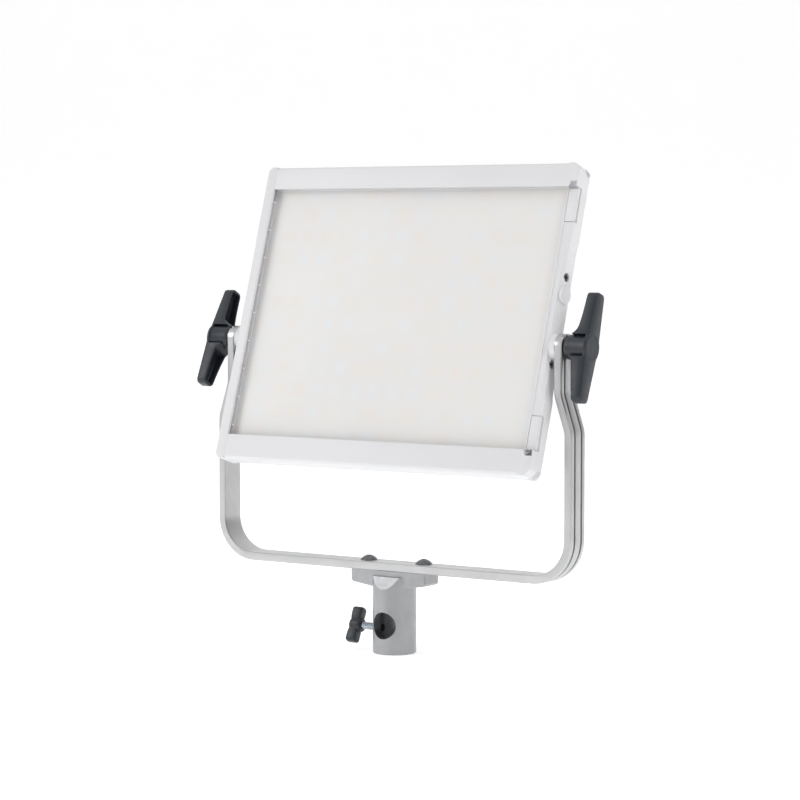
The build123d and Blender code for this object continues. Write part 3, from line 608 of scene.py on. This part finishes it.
def knob_section(along, half, x_out, x_in, soft):
    """A rounded slice of the lock knob's wing."""
    mid = soft * 0.3
    side = [
        (half - soft, x_in),
        (half - mid, x_in - mid),
        (half, x_in - soft),
        (half, x_out + soft),
        (half - mid, x_out + mid),
        (half - soft, x_out),
    ]
    other = [(-w, x) for w, x in reversed(side)]
    return [(x, w, along) for w, x in side + other]


def lock_knob():
    """A small two-lobed wing knob with a hub towards the receiver."""
    half_length = 19.0 * MM
    outer_x = -54.5 * MM
    inner_x = -43.2 * MM
    end_radius = 3.4 * MM
    steps = 40
    sections = []
    for index in range(steps + 1):
        share = -1 + 2 * index / steps
        along = half_length * math.sin(share * math.pi / 2)
        lobe = 0.5 - 0.5 * math.cos(math.pi * min(1.0, abs(along) / (12.0 * MM)))
        half = (4.4 + 1.1 * lobe) * MM
        past = abs(along) - (half_length - end_radius)
        shrink = 0.0
        if past > 0:
            shrink = end_radius - math.sqrt(max(0.0, end_radius**2 - past**2))
            half = max(1.8 * MM, half - shrink)
        soft = min(1.1 * MM, half * 0.6)
        waist = 0.7 * MM * (1 - lobe)
        sections.append(knob_section(along, half, outer_x + waist + shrink * 0.35, inner_x - shrink * 0.35, soft))
    node = "lock_knob"
    knob = piece_from(node + "_wings", loft(sections), node_body[node], HANDLE)
    hub = [
        (-53.8 * MM, 6.0 * MM),
        (-53.0 * MM, 6.9 * MM),
        (-46.0 * MM, 7.4 * MM),
        (-42.2 * MM, 7.4 * MM),
        (-40.9 * MM, 6.9 * MM),
        (-40.2 * MM, 5.8 * MM),
    ]
    combined(knob, loose_object(lathe(hub)), "UNION")
    bore = [(-44.0 * MM, 3.95 * MM), (-39.0 * MM, 3.95 * MM)]
    combined(knob, loose_object(lathe(bore, 32)), "DIFFERENCE")
    turn = Matrix.Rotation(-math.radians(LOCK_KNOB_TURN), 4, "X")
    knob.data.transform(Matrix.Translation((0, 0, LOCK_HEIGHT)) @ turn)
    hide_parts(node)


def threaded(node, start_x, length, radius, pitch, height, plain, material):
    """A stud with a real helical thread, plain over its first stretch."""
    steps = 28
    per_turn = 8
    depth = 0.55 * pitch
    rows = int(length / pitch * per_turn) + 1
    sections = []
    for row in range(rows + 1):
        x = start_x + length * row / rows
        section = []
        for i in range(steps):
            share = i / steps
            phase = ((x - start_x) / pitch + share) % 1.0
            ridge = 1 - abs(2 * phase - 1)
            fade = min(1.0, max(0.0, (x - start_x - plain) / pitch))
            fade *= min(1.0, (start_x + length - x) / (0.8 * pitch) + 0.3)
            r = radius - depth * fade * (1 - min(1.0, 1.25 * ridge))
            t = 2 * math.pi * share
            section.append((x, r * math.cos(t), r * math.sin(t)))
        sections.append(section)
    matrix = Matrix.Translation((0, 0, height))
    obj = piece_from(node + "_thread", loft(sections), node_body[node], material, matrix)
    obj.data.shade_smooth()
    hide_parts(node)


LOCK_HEIGHT = joints["lock_screw_turn"]["pos_m"][2]
LOCK_KNOB_TURN = 25.0
RIGHT_HANDLE_TURN = 18.0
LEFT_HANDLE_TURN = 28.0
clamp_handle("right_handle", 1, RIGHT_HANDLE_TURN)
clamp_handle("left_handle", -1, LEFT_HANDLE_TURN)
lock_knob()
threaded("lock_stud", -44.0 * MM, 25.7 * MM, 3.85 * MM, 1.25 * MM, LOCK_HEIGHT, 5.5 * MM, ZINC)

DRESSED = {
    "diffuser_sheet": OPAL,
    "diffuser_gasket": FOAM,
    "mixing_frame": REFLECTOR,
    "led_board": BOARD_WHITE,
    "led_emitters": EMITTER,
    "heatsink": BLACK_ANODISED,
    "heatsink_screws": ZINC,
    "housing_screws": ZINC,
    "driver_board": BOARD_GREEN,
    "control_board": BOARD_GREEN,
    "display_module": BLACK,
    "display_window": WINDOW,
    "encoder_bushes": BRASS,
    "power_inlet": BLACK,
    "data_sockets": BLACK,
    "pivot_inserts": STAINLESS,
    "pivot_spacers": MOULDING,
    "side_screws": BLACK_STEEL,
    "gate_pins": STAINLESS,
    "stand_receiver": BLASTED,
    "receiver_bolts": BOLT_STEEL,
    "yoke_bushes": ACETAL,
    "lock_pad": BLACK_STEEL,
    "left_handle_stud": ZINC,
    "right_handle_stud": ZINC,
    "left_clamp_washer": BLACK_STEEL,
    "right_clamp_washer": BLACK_STEEL,
    "dimmer_knob": RUBBER,
    "colour_knob": RUBBER,
    "menu_button": RUBBER,
    "mode_button": RUBBER,
    "back_button": RUBBER,
}
for node, material in DRESSED.items():
    dress(node, material)


# ---- stage ----
CAMERA_AZIMUTH = 34.0
FLOOR_GLOW = 0.47


def floor():
    """A pale sweep: flat under the light, curving up far behind it."""
    near = -3.0
    far = 2.2
    radius = 1.6
    half = 5.0
    steps = 24
    section = [(near, 0.0), (0.0, 0.0), (far, 0.0)]
    for i in range(1, steps + 1):
        turn = math.pi / 2 * i / steps
        section.append((far + radius * math.sin(turn), radius - radius * math.cos(turn)))
    section.append((far + radius, 4.5))
    bm = bmesh.new()
    azimuth = Matrix.Rotation(math.radians(CAMERA_AZIMUTH), 4, "Z")
    rows = [[bm.verts.new(azimuth @ Vector((x, y, z))) for x in (-half, half)] for y, z in section]
    for low, high in zip(rows, rows[1:]):
        bm.faces.new((low[0], low[1], high[1], high[0]))
    mesh = bpy.data.meshes.new("floor")
    bm.to_mesh(mesh)
    bm.free()
    mesh.shade_smooth()
    obj = bpy.data.objects.new("floor", mesh)
    bpy.context.scene.collection.objects.link(obj)
    m = Material("pale_floor", (0.93, 0.93, 0.93), 0.8)
    m.tint(0.005, 2.0)
    m.bump(m.noise(300, 3.0), 0.03, 0.0003)
    m.set("Emission Color", (1, 1, 1, 1))
    m.set("Emission Strength", FLOOR_GLOW)
    mesh.materials.append(m.material)


def world():
    """A white backdrop behind the light, with the dimmer room in front of it."""
    scene_world = bpy.data.worlds.new("studio")
    bpy.context.scene.world = scene_world
    scene_world.use_nodes = True
    tree = scene_world.node_tree
    background = tree.nodes["Background"]
    direction = tree.nodes.new("ShaderNodeTexCoord").outputs["Generated"]
    dot = tree.nodes.new("ShaderNodeVectorMath")
    dot.operation = "DOT_PRODUCT"
    dot.inputs[1].default_value = Vector((0.88, -0.47, -0.05)).normalized()
    tree.links.new(direction, dot.inputs[0])
    shade = tree.nodes.new("ShaderNodeMapRange")
    shade.interpolation_type = "SMOOTHSTEP"
    shade.inputs["From Min"].default_value = -0.35
    shade.inputs["From Max"].default_value = 0.95
    shade.inputs["To Min"].default_value = 0.80
    shade.inputs["To Max"].default_value = 0.10
    tree.links.new(dot.outputs["Value"], shade.inputs["Value"])
    tree.links.new(shade.outputs[0], background.inputs["Color"])
    background.inputs["Strength"].default_value = 1.0


def area_light(name, place, aim, size, power):
    data = bpy.data.lights.new(name, "AREA")
    data.shape = "SQUARE"
    data.size = size
    data.energy = power
    obj = bpy.data.objects.new(name, data)
    obj.location = place
    obj.rotation_euler = (Vector(aim) - Vector(place)).to_track_quat("-Z", "Y").to_euler()
    bpy.context.scene.collection.objects.link(obj)


def camera():
    """A long lens at the right of the lit side, a little above the receiver."""
    azimuth = math.radians(CAMERA_AZIMUTH)
    elevation = math.radians(3.59)
    distance = 2.742
    back = Vector((
        math.sin(azimuth) * math.cos(elevation),
        -math.cos(azimuth) * math.cos(elevation),
        math.sin(elevation),
    ))
    aim = Vector((0.0047, 0.0031, 0.263))
    data = bpy.data.cameras.new("camera")
    data.sensor_width = 36.0
    data.lens = 119.3
    data.clip_start = 0.05
    data.clip_end = 60.0
    obj = bpy.data.objects.new("camera", data)
    obj.location = aim + back * distance
    obj.rotation_euler = (-back).to_track_quat("-Z", "Y").to_euler()
    bpy.context.scene.collection.objects.link(obj)
    bpy.context.scene.camera = obj


floor()
world()
camera()
area_light("left_key", (-1.35, -1.25, 1.15), (0, 0, 0.35), 0.9, 7.4)
area_light("right_side", (1.6, -0.35, 1.3), (0.2, 0, 0.35), 0.7, 10.5)
area_light("top", (0.1, -0.1, 2.2), (0, 0, 0.3), 1.3, 2.4)
bpy.context.scene.view_settings.view_transform = "Standard"
